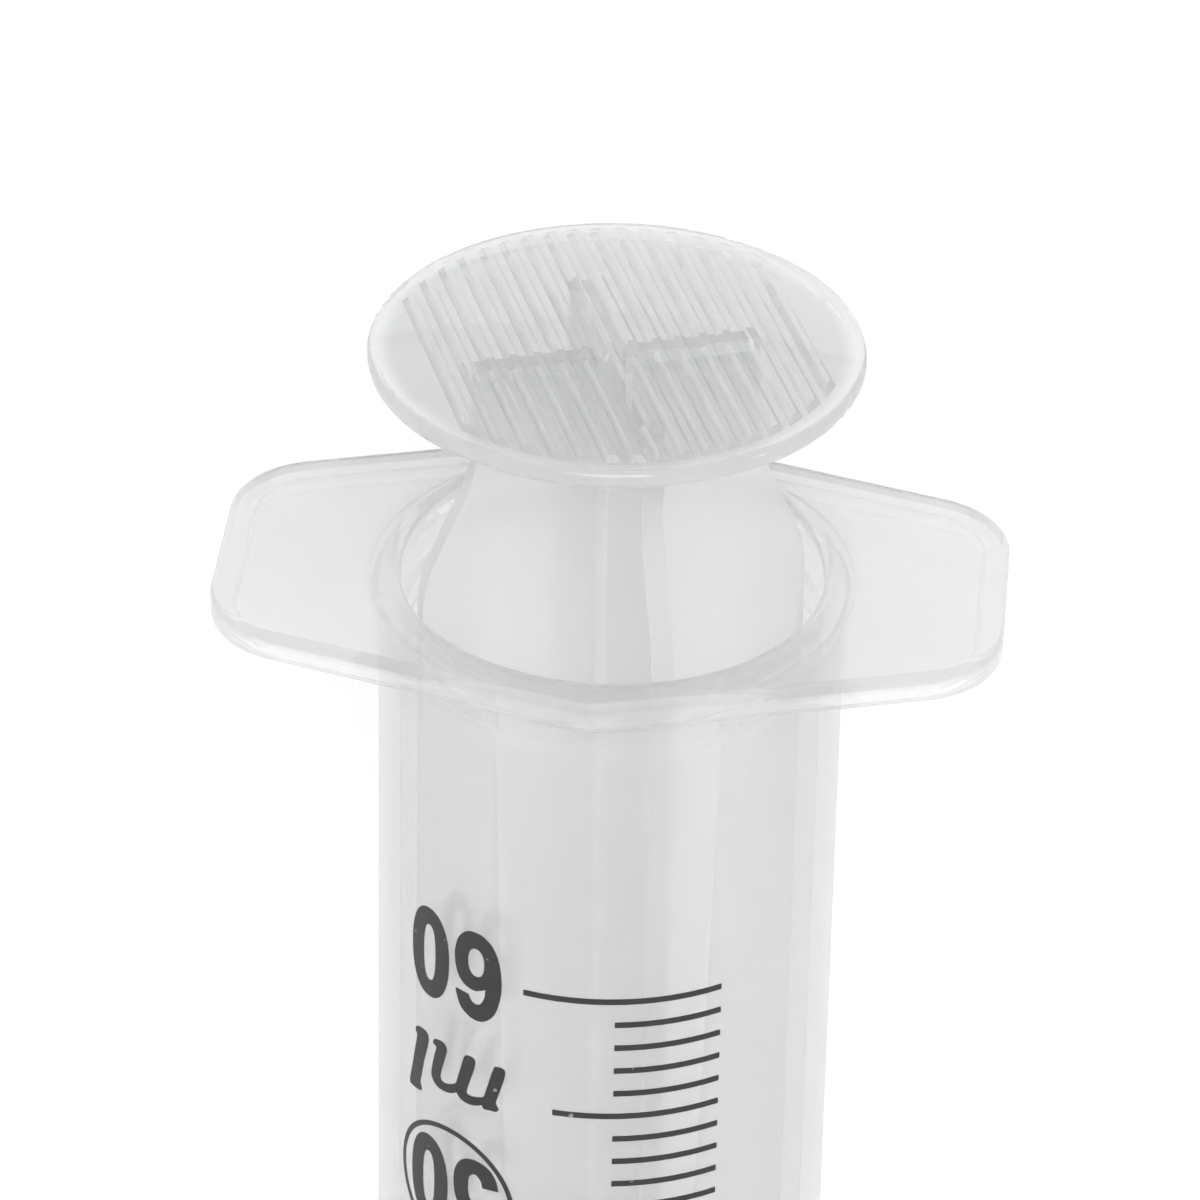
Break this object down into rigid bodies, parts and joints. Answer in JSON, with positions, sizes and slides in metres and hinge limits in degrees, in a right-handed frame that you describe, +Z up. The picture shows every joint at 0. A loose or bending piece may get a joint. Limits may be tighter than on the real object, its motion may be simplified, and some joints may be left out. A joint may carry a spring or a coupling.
{
  "type": "luer lock syringe",
  "caption": "Large disposable luer lock syringe with a winged finger flange, ridged thumb disc, cross-ribbed plunger rod, rubber stopper and a printed millilitre scale.",
  "frame": {"origin": "on the table under the middle of the lying syringe's length", "axes": "+Y along the syringe towards the nozzle, +Z up from the table, the thumb disc towards -Y"},
  "size_m": [0.0506, 0.1619, 0.0316],
  "materials": {
    "barrel_plastic": "translucent milky polypropylene",
    "rod_plastic": "translucent milky polypropylene",
    "stopper_rubber": "satin, lightly oiled",
    "scale_ink": "printed ink"
  },
  "bodies": {
    "barrel": {"barrel": "barrel_plastic", "scale_marks": "scale_ink"},
    "stopper": {"stopper": "stopper_rubber"},
    "rod": {"plunger_rod": "rod_plastic"}
  },
  "joints": [
    {"name": "plunger_slide", "type": "slide", "parent": "barrel", "child": "stopper", "axis": [0, -1, 0.0085], "range_m": [0, 0.10941]},
    {"name": "rod_turn", "type": "hinge", "parent": "stopper", "child": "rod", "pos_m": [0, 0.05105, 0.01484], "axis": [0, -1, 0.0085], "continuous": true}
  ]
}
